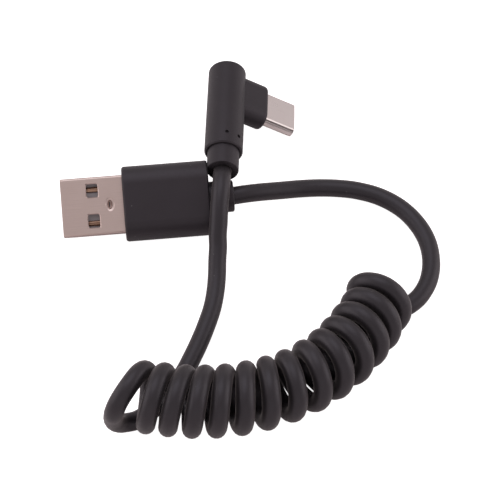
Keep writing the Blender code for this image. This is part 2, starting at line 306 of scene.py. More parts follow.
class MaterialBuilder(Wiring):
    """One material: its nodes, its links and the plug's own coordinates."""

    def __init__(self, name: str, frame: Matrix | None = None) -> None:
        """Start a material around a Principled BSDF.

        Args:
            name: Name of the material.
            frame: Place of the plug whose axes the pattern follows, or None for the model's.
        """
        self.material = bpy.data.materials.new(name)
        self.material.use_nodes = True
        super().__init__(self.material.node_tree)
        self.bsdf = self.tree.nodes["Principled BSDF"]
        self.vector = self.node("ShaderNodeTexCoord").outputs["Object"]
        if frame is not None:
            mapping = self.node("ShaderNodeMapping", vector_type="TEXTURE")
            self.vector = self.feed(mapping, Vector=self.vector, Location=frame.to_translation(),
                                    Rotation=frame.to_euler())["Vector"]

    def group(self, tree: NodeTree, **values: float) -> NodeOutputs:
        """Place a shared group.

        Args:
            tree: The node group.
            **values: Inputs by name, with underscores for spaces.

        Returns:
            The outputs of the group's node.
        """
        return self.feed(self.node("ShaderNodeGroup", node_tree=tree), Vector=self.vector, **values)

    def blend(self, factor: NodeSocket, first: object, second: object) -> NodeSocket:
        """Mix two colours.

        Args:
            factor: Share of the second colour.
            first: A colour or a socket.
            second: A colour or a socket.

        Returns:
            The mixed colour's socket.
        """
        mix = self.node("ShaderNodeMix", data_type="RGBA")
        self.link(factor, mix.inputs["Factor"])
        colours = [socket for socket in mix.inputs if socket.type == "RGBA"]
        for socket, value in zip(colours, (first, second)):
            self.link(value if isinstance(value, NodeSocket) else (*value, 1.0), socket)
        return next(socket for socket in mix.outputs if socket.type == "RGBA")

    def surface(self, colour: NodeSocket, roughness: NodeSocket,
                normal: NodeSocket, **constants: object) -> Material:
        """Lead the patterns into the shader and set its constants.

        Args:
            colour: Socket of the base colour.
            roughness: Socket of the roughness.
            normal: Socket of the normal.
            **constants: Other inputs by name, with underscores for spaces.

        Returns:
            The finished material.
        """
        self.feed(self.bsdf, Base_Color=colour, Roughness=roughness, Normal=normal, **constants)
        return self.material


@dataclass(frozen=True)
class Finish:
    """A procedural finish that builds one material."""

    name: str

    def build(self, groups: Groups) -> Material:
        """Build the material.

        Args:
            groups: The shared node groups.

        Returns:
            The finished material.
        """
        raise NotImplementedError


@dataclass(frozen=True)
class SoftRubber(Finish):
    """Matte black moulded rubber or cable jacket."""

    dark: Triple = (0.0095, 0.0072, 0.0087)
    light: Triple = (0.0130, 0.0100, 0.0120)
    speck: Triple = (0.16, 0.15, 0.145)
    roughness: float = 0.48
    spread: float = 0.05
    grain_mm: float = 0.22
    cloud_mm: float = 7.0
    depth: float = 0.25
    lint: float = 0.35
    lint_mm: float = 2.8
    shine: float = 0.5
    shine_tint: Triple = (1.0, 0.88, 0.97)
    bloom: float = 0.09
    bloom_tint: Triple = (1.0, 1.0, 1.0)
    bloom_roughness: float = 0.4

    def build(self, groups: Groups) -> Material:
        """Build the rubber."""
        m = MaterialBuilder(self.name)
        grain = m.group(groups.grain, Grain_Size=self.grain_mm, Depth=self.depth, Cloud_Size=self.cloud_mm)
        dust = m.group(groups.dust, Spacing=self.lint_mm, Amount=self.lint)
        body = m.blend(grain["Tone"], self.dark, self.light)
        roughness = m.remap(grain["Rough"], -1.0, 1.0, self.roughness - self.spread,
                            self.roughness + self.spread)
        return m.surface(m.blend(dust["Mask"], body, self.speck), roughness, grain["Normal"],
                         Specular_IOR_Level=self.shine, Specular_Tint=(*self.shine_tint, 1.0),
                         Sheen_Weight=self.bloom, Sheen_Tint=(*self.bloom_tint, 1.0),
                         Sheen_Roughness=self.bloom_roughness)


@dataclass(frozen=True)
class PlatedSteel(Finish):
    """Nickel-plated sheet with fine drawn lines along the plug."""

    frame: Matrix
    bright: Triple = (0.63, 0.495, 0.46)
    dull: Triple = (0.555, 0.43, 0.395)
    stain: float = 0.35
    roughness: float = 0.33
    duller: float = 0.06
    shinier: float = 0.04
    depth: float = 0.12
    # Optional painted dark reflection lines along the creases: their distance and half width in millimetres,
    # and their colour.
    painted_reflection_mm: float | None = None
    painted_reflection_half_mm: float = 0.2
    painted_reflection_tone: Triple = (0.16, 0.13, 0.13)

    def build(self, groups: Groups) -> Material:
        """Build the steel."""
        m = MaterialBuilder(self.name, self.frame)
        lines = m.group(groups.brush, Line_Width=0.09, Line_Length=5.0, Depth=self.depth)
        tone = m.blend(lines["Lines"], self.dull, self.bright)
        colour = m.blend(m.remap(lines["Stain"], 0.0, 1.0, 0.0, self.stain), tone, self.dull)
        # Paint a dark reflection line along each crease of the shell.
        if self.painted_reflection_mm is not None:
            painted_reflection = m.group(groups.painted_reflection, Distance=self.painted_reflection_mm, Half_Width=self.painted_reflection_half_mm)
            colour = m.blend(painted_reflection["Mask"], colour, self.painted_reflection_tone)
        roughness = m.remap(lines["Lines"], 0.0, 1.0, self.roughness + self.duller,
                            self.roughness - self.shinier)
        return m.surface(colour, roughness, lines["Normal"], Metallic=1.0)


@dataclass(frozen=True)
class ContactGold(Finish):
    """Thin gold over copper, rubbed where a socket has slid over it."""

    frame: Matrix
    fresh: Triple = (0.52, 0.32, 0.23)
    rubbed: Triple = (0.12, 0.06, 0.04)
    fresh_roughness: float = 0.22
    rubbed_roughness: float = 0.32

    def build(self, groups: Groups) -> Material:
        """Build the gold."""
        m = MaterialBuilder(self.name, self.frame)
        lines = m.group(groups.brush, Line_Width=0.32, Line_Length=9.0, Depth=0.15)
        roughness = m.remap(lines["Lines"], 0.0, 1.0, self.rubbed_roughness, self.fresh_roughness)
        return m.surface(m.blend(lines["Lines"], self.rubbed, self.fresh), roughness, lines["Normal"],
                         Metallic=1.0)


@dataclass(frozen=True)
class MouldedPlastic(Finish):
    """Hard insulating plastic inside a plug."""

    dark: Triple = (0.46, 0.41, 0.43)
    light: Triple = (0.56, 0.50, 0.52)
    roughness: float = 0.45
    spread: float = 0.05

    def build(self, groups: Groups) -> Material:
        """Build the plastic."""
        m = MaterialBuilder(self.name)
        grain = m.group(groups.grain, Grain_Size=0.15, Depth=0.1, Cloud_Size=3.0)
        roughness = m.remap(grain["Rough"], -1.0, 1.0, self.roughness - self.spread,
                            self.roughness + self.spread)
        return m.surface(m.blend(grain["Tone"], self.dark, self.light), roughness, grain["Normal"])


# Mesh work


def linked(name: str, data: ID) -> Object:
    """Make an object of some data and link it to the scene."""
    obj = bpy.data.objects.new(name, data)
    bpy.context.scene.collection.objects.link(obj)
    return obj


def new_object(name: str, bm: BMesh, place: Matrix) -> Object:
    """Make an object of a bmesh, with its place in its mesh.

    Args:
        name: Name of the object.
        bm: The shape in its own frame. It is freed.
        place: The frame's place in the model.

    Returns:
        The linked object.
    """
    bmesh.ops.remove_doubles(bm, verts=bm.verts, dist=WELD)
    bmesh.ops.transform(bm, matrix=place, verts=bm.verts)
    bmesh.ops.recalc_face_normals(bm, faces=bm.faces)
    mesh = bpy.data.meshes.new(name)
    bm.to_mesh(mesh)
    bm.free()
    return linked(name, mesh)


def bake(obj: Object) -> None:
    """Apply all modifiers of an object to its mesh."""
    bpy.context.view_layer.update()
    depsgraph = bpy.context.evaluated_depsgraph_get()
    baked = bpy.data.meshes.new_from_object(obj.evaluated_get(depsgraph), depsgraph=depsgraph)
    obj.modifiers.clear()
    obj.data = baked


def settle(obj: Object, width: float = 0.0, segments: int = 1, angle: float = 0.0) -> Object:
    """Bevel the sharp edges, close the mesh's doubles and set smooth shading.

    Args:
        obj: Piece to settle.
        width: Width of the bevel in metres, or 0.0 for no bevel.
        segments: Number of faces across it.
        angle: Least angle of an edge that is bevelled, in degrees.

    Returns:
        The same object.
    """
    if width > 0.0:
        bevel = obj.modifiers.new("soft edges", "BEVEL")
        bevel.width = width
        bevel.segments = segments
        bevel.limit_method = "ANGLE"
        bevel.angle_limit = math.radians(angle)
        bevel.use_clamp_overlap = True
    bake(obj)
    bm = bmesh.new()
    bm.from_mesh(obj.data)
    bmesh.ops.remove_doubles(bm, verts=bm.verts, dist=WELD)
    bmesh.ops.dissolve_degenerate(bm, dist=WELD, edges=bm.edges)
    limit = math.radians(SHARP_DEGREES)
    for face in bm.faces:
        face.smooth = True
    for edge in bm.edges:
        edge.smooth = len(edge.link_faces) == 2 and edge.calc_face_angle(0.0) < limit
    bm.to_mesh(obj.data)
    bm.free()
    weights = obj.modifiers.new("flat faces", "WEIGHTED_NORMAL")
    weights.keep_sharp = True
    weights.weight = 100
    bake(obj)
    return obj


def carve(obj: Object, place: Matrix, tools: Iterable[tuple[Cut, BMesh]]) -> None:
    """Join shapes to a piece or cut them out of it.

    The shapes are all closed, as the manifold solver needs, and are enlarged while it works.

    Args:
        obj: Piece to work on.
        place: Place of the shapes' frame in the model.
        tools: What each shape does, and the shape. It is freed.

    Raises:
        ValueError: If nothing is left of the piece.
    """
    used = []
    obj.data.transform(Matrix.Scale(1.0 / MM, 4))
    for cut, shape in tools:
        tool = new_object("tool", shape, place)
        tool.data.transform(Matrix.Scale(1.0 / MM, 4))
        modifier = obj.modifiers.new("cut", "BOOLEAN")
        modifier.operation = cut.value
        modifier.solver = "MANIFOLD"
        modifier.object = tool
        used.append(tool)
    bake(obj)
    obj.data.transform(Matrix.Scale(MM, 4))
    for tool in used:
        bpy.data.objects.remove(tool)
    if not obj.data.polygons:
        raise ValueError(f"{obj.name} came out empty")


def block(size: Sequence[float], centre: Sequence[float]) -> BMesh:
    """Box of a size about a centre.

    Args:
        size: Lengths along X, Y and Z.
        centre: Centre of the box.

    Returns:
        The new bmesh.
    """
    bm = bmesh.new()
    bmesh.ops.create_cube(bm, size=1.0, matrix=Matrix.Translation(centre) @ Matrix.Diagonal((*size, 1.0)))
    return bm


def edges_along(bm: BMesh, axis: int) -> list[BMEdge]:
    """Edges that run along one axis (0, 1 or 2)."""
    return [e for e in bm.edges
            if abs((e.verts[0].co - e.verts[1].co).normalized()[axis]) > 0.999]


def round_edges(bm: BMesh, edges: Iterable[BMEdge], radius: float, segments: int) -> None:
    """Round some edges.

    Args:
        bm: The bmesh.
        edges: Edges to round.
        radius: Radius of the rounding.
        segments: Number of faces across it.
    """
    bmesh.ops.bevel(bm, geom=list(edges), offset=radius, offset_type="OFFSET", segments=segments,
                    profile=0.5, affect="EDGES", clamp_overlap=False, material=-1)
    bmesh.ops.remove_doubles(bm, verts=bm.verts, dist=WELD)


def slab(length: float, width: float, height: float, start: float, corner: float, segments: int) -> BMesh:
    """Bar along X with rounded long edges.

    Args:
        length: Length along X.
        width: Width along Y.
        height: Height along Z.
        start: X of its near end.
        corner: Radius of the long edges.
        segments: Faces across each rounded edge.

    Returns:
        The new bmesh.
    """
    bm = block((length, width, height), (start + length / 2, 0.0, 0.0))
    round_edges(bm, edges_along(bm, 0), corner, segments)
    return bm


def rim_edges(bm: BMesh, x: float) -> list[BMEdge]:
    """Edges that lie in the plane at one X."""
    return [e for e in bm.edges if all(abs(v.co.x - x) < 1e-6 for v in e.verts)]


def rod(radius: float, start: float, end: float, segments: int) -> BMesh:
    """Closed cylinder along X.

    Args:
        radius: Radius of the cylinder.
        start: X of its near end.
        end: X of its far end.
        segments: Number of sides.

    Returns:
        The new bmesh.
    """
    place = Matrix.Translation(((start + end) / 2, 0.0, 0.0)) @ Matrix.Rotation(math.pi / 2, 4, "Y")
    bm = bmesh.new()
    bmesh.ops.create_cone(bm, cap_ends=True, segments=segments, radius1=radius, radius2=radius,
                          depth=end - start, matrix=place)
    return bm


def turned(profile: Sequence[tuple[float, float]], axis: int, steps: int) -> BMesh:
    """Turned solid from a profile of (radius, place along the axis) that starts and ends on it.

    Args:
        profile: Points of the profile.
        axis: Number of the axis, 0 or 1.
        steps: Steps of the full turn.

    Returns:
        The new bmesh.
    """
    bm = bmesh.new()
    verts = []
    for radius, along in profile:
        point = Vector((0.0, 0.0, radius))
        point[axis] = along
        verts.append(bm.verts.new(point))
    edges = [bm.edges.new(pair) for pair in zip(verts, verts[1:])]
    direction = Vector((1.0 - axis, axis, 0.0))
    bmesh.ops.spin(bm, geom=[*verts, *edges], cent=(0.0, 0.0, 0.0), axis=direction, dvec=(0.0, 0.0, 0.0),
                   angle=2 * math.pi, steps=steps, use_merge=True, use_duplicate=False)
    bmesh.ops.remove_doubles(bm, verts=bm.verts, dist=WELD)
    return bm


class Dresser:
    """Gives finished pieces their material, body and replaced node."""

    def __init__(self, nodes: dict[str, Object]) -> None:
        """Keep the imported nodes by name."""
        self.nodes = nodes

    def dress(self, obj: Object, material: Material, slot: Slot, *replaced: str) -> Object:
        """Dress a new piece.

        Args:
            obj: The piece.
            material: Its material.
            slot: Material slot of the record. Not used.
            *replaced: Nodes that it stands for.

        Returns:
            The same object.
        """
        obj.data.materials.clear()
        obj.data.materials.append(material)
        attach(obj, BODY)
        if replaced:
            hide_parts(*replaced)
        LOG.info("piece %s replaces %s", obj.name, ", ".join(replaced) or "nothing")
        return obj

    def paint(self, name: str, material: Material) -> Object:
        """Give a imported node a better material.

        Args:
            name: Name of the node.
            material: The new material.

        Returns:
            The node's object.
        """
        obj = self.nodes[name]
        for place in obj.material_slots:
            place.material = material
        LOG.info("node %s keeps its shape", name)
        return obj


# Cable


def catmull(points: Sequence[Vector], place: float) -> Vector:
    """Point on a smooth curve through a row of points.

    Args:
        points: The row.
        place: Number of the point, with a fraction between two of them.

    Returns:
        The point on the curve.
    """
    last = len(points) - 1
    i = min(max(int(math.floor(place)), 0), last - 1)
    t = place - i
    p1, p2 = points[i], points[i + 1]
    p0 = points[i - 1] if i > 0 else 2 * p1 - p2
    p3 = points[i + 2] if i + 2 <= last else 2 * p2 - p1
    return 0.5 * (2 * p1 + (p2 - p0) * t + (2 * p0 - 5 * p1 + 4 * p2 - p3) * t * t
                  + (3 * p1 - p0 - 3 * p2 + p3) * t ** 3)


@dataclass
class Cable:
    """The whole cable: a lead from the USB-A plug, the coil, and a lead to the USB-C plug.

    Routes are in millimetres. The coil is a left-handed helix about a curved axis on the table.
    """

    first_turn: float = 0.86
    last_turn: float = 14.0
    points_per_turn: int = 14
    phase_lead: float = 0.25
    coil_radius: tuple[float, float] = (5.16, 5.20)
    facing_radius: tuple[float, float] = (5.67, 5.16)
    tilt: tuple[float, ...] = (0.032, 0.012, 0.102, 0.148, 0.016, 0.046, 0.014, 0.044)
    lean: tuple[float, ...] = (0.023, 0.013, -0.100, -0.152, 0.026, 0.146, 0.182, 0.148)
    rest_height: float = 7.2
    lift: float = 4.1
    lift_from: float = 3.0025
    lift_over: float = 5.3
    axis: Pairs = (
        (-9.09, -59.62), (-4.9, -60.69), (-0.8, -61.32), (3.33, -61.74), (7.47, -61.53), (11.81, -60.67),
        (16.24, -59.17), (20.66, -57.2), (24.83, -55.04), (28.78, -52.48), (32.24, -49.66), (35.29, -46.2),
        (37.81, -42.7), (39.94, -39.13), (41.49, -34.95), (43.33, -31.0))
    lead_a: tuple[Triple, ...] = (
        (11.3, -10.2, 5.88), (14.0, -9.6, 5.75), (17.2, -8.6, 5.0), (21.65, -7.14, 3.6),
        (25.77, -5.91, 2.5), (29.94, -5.34, 2.0), (33.87, -5.4, 1.9), (37.92, -5.99, 1.9),
        (42.48, -7.54, 1.9), (46.72, -10.38, 1.9), (49.82, -14.1, 1.9), (51.88, -18.64, 1.9),
        (52.51, -23.65, 1.9), (51.79, -28.28, 1.9), (50.01, -31.92, 1.9), (47.95, -34.11, 1.9),
        (45.64, -35.48, 1.92), (42.85, -35.6, 1.91))
    lead_c: tuple[Triple, ...] = (
        (-4.89, -55.86, 13.05), (-6.02, -58.18, 15.58), (-7.8, -61.18, 15.88), (-9.51, -63.28, 14.19),
        (-10.5, -64.04, 11.58), (-10.87, -63.7, 9.16), (-10.98, -63.34, 7.1), (-10.68, -62.96, 5.28),
        (-9.96, -62.34, 3.66), (-8.71, -61.58, 2.49), (-7.02, -60.81, 1.89), (-5.25, -59.67, 1.9),
        (-2.66, -56.91, 1.9), (-0.47, -54.14, 1.9), (1.93, -50.45, 1.9), (3.73, -46.39, 1.9),
        (4.99, -43.19, 1.9), (6.15, -39.78, 1.9), (7.3, -35.83, 1.97), (7.84, -33.17, 2.27),
        (8.19, -30.37, 2.79), (8.35, -27.7, 3.53), (8.4, -25.17, 4.49), (8.54, -22.76, 5.56),
        (8.48, -20.68, 6.79), (8.64, -18.67, 8.04), (8.73, -16.8, 9.19), (8.83, -15.21, 10.02),
        (8.99, -13.62, 10.69), (9.1, -12.12, 11.07), (9.19, -10.68, 11.22), (9.26, -9.37, 11.1),
        (9.33, -8.2, 10.85), (9.38, -7.0, 10.6), (9.42, -5.9, 10.53))

    @staticmethod
    def along(row: Sequence[float], turn: float) -> float:
        """Value at a turn from a row that has one value for each two turns."""
        place = min(max(turn / 2.0, 0.0), len(row) - 1.001)
        i = int(place)
        return row[i] + (row[i + 1] - row[i]) * (place - i)

    def height(self, turn: float) -> float:
        """Height of the coil's axis over the table at a turn, in millimetres."""
        share = min(max((turn - self.lift_from) / self.lift_over, 0.0), 1.0)
        return self.rest_height + self.lift * (1 - share * share * (3 - 2 * share))

    def helix(self, turn: float) -> Vector:
        """Point on the coil's centreline.

        Args:
            turn: Number of turns from the coil's left end.

        Returns:
            The point in millimetres.
        """
        row = [Vector((x, y, 0.0)) for x, y in self.axis]
        here = catmull(row, turn)
        nudge = 0.01
        ahead = (catmull(row, turn + nudge) - catmull(row, turn - nudge)).normalized()
        aside = Vector((-ahead.y, ahead.x, 0.0))
        rise, run = math.sin(CAMERA_RISE), math.cos(CAMERA_RISE)
        flat = Vector((ahead.x, ahead.y * rise)).normalized()
        theta = math.atan2(run * flat.x, -aside.x * flat.y + aside.y * rise * flat.x)
        across = math.cos(theta) * aside + Vector((0.0, 0.0, math.sin(theta)))
        facing = -math.sin(theta) * aside + Vector((0.0, 0.0, math.cos(theta)))
        share = turn / self.last_turn
        radius, deep = (low + (high - low) * share for low, high in (self.coil_radius, self.facing_radius))
        tilt = self.along(self.tilt, turn)
        lean = self.along(self.lean, turn)
        phase = 2 * math.pi * (turn - self.phase_lead)
        centre = Vector((here.x, here.y, self.height(turn)))
        return (centre - math.cos(phase) * radius * (across + tilt * ahead)
                + math.sin(phase) * deep * (facing + lean * ahead))

    def route(self) -> list[Vector]:
        """The cable's points from the USB-A neck to the USB-C tail.

        Returns:
            Points in metres.
        """
        count = round((self.last_turn - self.first_turn) * self.points_per_turn)
        step = (self.first_turn - self.last_turn) / count
        coil = [self.helix(self.last_turn + step * i) for i in range(count + 1)]
        return [Vector(point) * MM for point in (*self.lead_a, *coil, *self.lead_c)]

    def build(self) -> Object:
        """Lay the cable as one open Bezier curve.

        Returns:
            The curve's object.
        """
        route = self.route()
        curve = bpy.data.curves.new("cable", "CURVE")
        curve.dimensions = "3D"
        curve.resolution_u = 5
        curve.render_resolution_u = 0
        curve.bevel_depth = CABLE_DIAMETER / 2
        curve.bevel_resolution = 7
        curve.use_fill_caps = True
        spline = curve.splines.new("BEZIER")
        spline.bezier_points.add(len(route) - 1)
        for i, (point, knot) in enumerate(zip(route, spline.bezier_points)):
            before = route[max(i - 1, 0)]
            after = route[min(i + 1, len(route) - 1)]
            direction = (after - before).normalized()
            knot.co = point
            knot.handle_left_type = knot.handle_right_type = "FREE"
            knot.handle_left = point - direction * (point - before).length / 3
            knot.handle_right = point + direction * (after - point).length / 3
        return linked("cable", curve)

    def length(self) -> float:
        """Length of the route in metres."""
        points = self.route()
        return sum((b - a).length for a, b in zip(points, points[1:]))


# Plugs


def eased(radius: float, end: float, steps: Pairs, inward: int) -> Pairs:
    """Rounded end of a turned profile.

    Args:
        radius: Radius beside the end.
        end: Place of the end along the axis.
        steps: How far each point lies inside the radius and short of the end.
        inward: 1 or -1, the way along the axis from the end into the piece.

    Returns:
        Points of (radius, place along the axis).
    """
    return tuple((radius - inside, end + inward * short) for inside, short in steps)


@dataclass
class UsbAPlug:
    """The straight plug. X runs back from the tip of its shell, Z out of the face with the dimple."""

    tip: Triple = (-23.95, -13.55, 5.88)
    yaw: float = math.radians(5.47)
    roll: float = math.radians(30.35)
    shell_width: float = 12.0 * MM
    shell_height: float = 4.5 * MM
    wall: float = 0.3 * MM
    corner: float = 0.5 * MM
    exposed: float = 12.8 * MM
    buried: float = 1.0 * MM
    hole_length: float = 2.4 * MM
    hole_width: float = 2.75 * MM
    hole_from_tip: float = 6.5 * MM
    hole_offset: float = 3.15 * MM
    hole_corner: float = 0.35 * MM
    hole_flare: float = 0.18 * MM
    dimple_from_tip: float = 10.0 * MM
    rim_half: Triple = (1.18 * MM, 1.56 * MM, 0.44 * MM)
    rim_lift: float = 0.2 * MM
    bowl_half: Triple = (0.56 * MM, 1.02 * MM, 0.85 * MM)
    bowl_lift: float = 0.1 * MM
    bump_half: Triple = (1.1 * MM, 1.6 * MM, 0.80 * MM)
    slit_size: Triple = (0.30 * MM, 1.2 * MM, 4.0 * MM)
    slit_corner: float = 0.14 * MM
    slit_shift: float = 0.08 * MM
    seam_width: float = 0.07 * MM
    seam_height: float = 1.0 * MM
    spring_offsets: tuple[float, ...] = (-3.5 * MM, -1.0 * MM, 1.0 * MM, 3.5 * MM)
    spring_starts: tuple[float, ...] = (1.2 * MM, 2.0 * MM, 2.0 * MM, 1.2 * MM)
    spring_end: float = 9.6 * MM
    spring_width: float = 1.1 * MM
    spring_rise: float = 0.5 * MM
    tongue_top: float = 0.05 * MM
    grip_length: float = 17.9 * MM
    grip_width: float = 15.7 * MM
    grip_height: float = 8.0 * MM
    grip_front_round: float = 0.55 * MM
    grip_back_round: float = 0.4 * MM
    neck_diameter: float = 6.65 * MM
    neck_length: float = 5.05 * MM
    neck_root: float = 2.0 * MM
    neck_round: Pairs = ((0.0, 0.35 * MM), (0.1 * MM, 0.1 * MM), (0.35 * MM, 0.0))
    neck_hole_depth: float = 0.8 * MM
    pocket_depth: float = 1.1 * MM

    @property
    def place(self) -> Matrix:
        """Place of the plug's frame in the model."""
        return (Matrix.Translation(Vector(self.tip) * MM) @ Matrix.Rotation(self.yaw, 4, "Z")
                @ Matrix.Rotation(self.roll, 4, "X"))

    def holes(self) -> Iterable[BMesh]:
        """Cutting shapes of the two spring holes, each with the flare of its rim.

        Yields:
            The straight hole and the flare of each side.
        """
        for side in (1, -1):
            middle = (self.hole_from_tip, side * self.hole_offset)
            hole = block((self.hole_length, self.hole_width, 2 * self.shell_height), (*middle, 0.0))
            flare = block((self.hole_length, self.hole_width, 2 * self.hole_flare),
                          (*middle, self.shell_height / 2))
            for tool in (hole, flare):
                round_edges(tool, edges_along(tool, 2), self.hole_corner, 4)
            wider = [v for v in flare.verts if v.co.z > self.shell_height / 2]
            bmesh.ops.scale(flare, verts=wider, vec=(1 + 4 * self.hole_flare / self.hole_length,
                                                     1 + 4 * self.hole_flare / self.hole_width, 1.0),
                            space=Matrix.Translation((-middle[0], -middle[1], 0.0)))
            yield from (hole, flare)

    def shell(self) -> Object:
        """Folded metal shell with spring holes, a pressed dimple and a seam at the back.

        Returns:
            The shell's object.
        """
        length = self.exposed + self.buried
        bar = slab(length, self.shell_width, self.shell_height, 0.0, self.corner, 6)
        outer = new_object("usb_a_metal_shell", bar, self.place)
        inner = slab(length + 2 * OVERRUN, self.shell_width - 2 * self.wall,
                     self.shell_height - 2 * self.wall, -OVERRUN, self.corner - self.wall, 4)
        tools = [(Cut.REMOVE, inner)]
        tools += [(Cut.REMOVE, hole) for hole in self.holes()]
        for cut, half, lift in ((Cut.JOIN, self.bump_half, -self.wall),
                                (Cut.REMOVE, self.rim_half, self.rim_lift),
                                (Cut.REMOVE, self.bowl_half, self.bowl_lift)):
            ball = bmesh.new()
            bmesh.ops.create_uvsphere(ball, u_segments=40, v_segments=20, radius=1.0)
            bmesh.ops.scale(ball, vec=half, verts=ball.verts)
            bmesh.ops.translate(ball, vec=(self.dimple_from_tip, 0.0, self.shell_height / 2 + lift),
                                verts=ball.verts)
            tools.append((cut, ball))
        slit = block(self.slit_size, (self.dimple_from_tip - self.slit_shift, 0.0, self.shell_height / 2))
        round_edges(slit, edges_along(slit, 2), self.slit_corner, 4)
        seam = block((length + OVERRUN, self.seam_width, self.seam_height),
                     (length / 2, 0.0, -self.shell_height / 2))
        tools += [(Cut.REMOVE, slit), (Cut.REMOVE, seam)]
        carve(outer, self.place, tools)
        return settle(outer, width=0.11 * MM, segments=3, angle=58.0)

    def spring(self, number: int) -> Object:
        """Contact spring with a rounded top.

        Args:
            number: Number of the contact, from 1 at the viewer's side.

        Returns:
            The spring's object.
        """
        bar = rod(self.spring_width / 2, self.spring_starts[number - 1], self.spring_end, 24)
        bmesh.ops.scale(bar, vec=(1.0, 1.0, self.spring_rise / self.spring_width), verts=bar.verts)
        bmesh.ops.translate(bar, verts=bar.verts, vec=(0.0, self.spring_offsets[number - 1],
                                                       self.tongue_top + self.spring_rise / 2))
        piece = new_object(f"usb_a_spring_{number}", bar, self.place)
        return settle(piece, width=0.03 * MM, segments=2, angle=50.0)

    def grip(self) -> Object:
        """Soft moulded grip with a pocket for the shell and a short neck for the cable.

        Returns:
            The grip's object.
        """
        back = self.exposed + self.grip_length
        body = slab(self.grip_length, self.grip_width, self.grip_height, self.exposed,
                    self.grip_height / 2 - SHORT_OF_ROUND, 14)
        round_edges(body, rim_edges(body, self.exposed), self.grip_front_round, 4)
        round_edges(body, rim_edges(body, back), self.grip_back_round, 4)
        grip = new_object("usb_a_grip", body, self.place)
        radius, hole = self.neck_diameter / 2, CABLE_HOLE / 2
        end = back + self.neck_length
        root, bottom = back - self.neck_root, end - self.neck_hole_depth
        neck = turned([(0.0, root), (radius, root), *eased(radius, end, self.neck_round, -1),
                       (hole, end), (hole, bottom), (0.0, bottom)], 0, 56)
        pocket = slab(POCKET_LENGTH, self.shell_width + POCKET_CLEARANCE,
                      self.shell_height + POCKET_CLEARANCE,
                      self.exposed + self.pocket_depth - POCKET_LENGTH, self.corner, 5)
        carve(grip, self.place, [(Cut.JOIN, neck), (Cut.REMOVE, pocket)])
        return settle(grip, width=0.12 * MM, segments=2, angle=45.0)


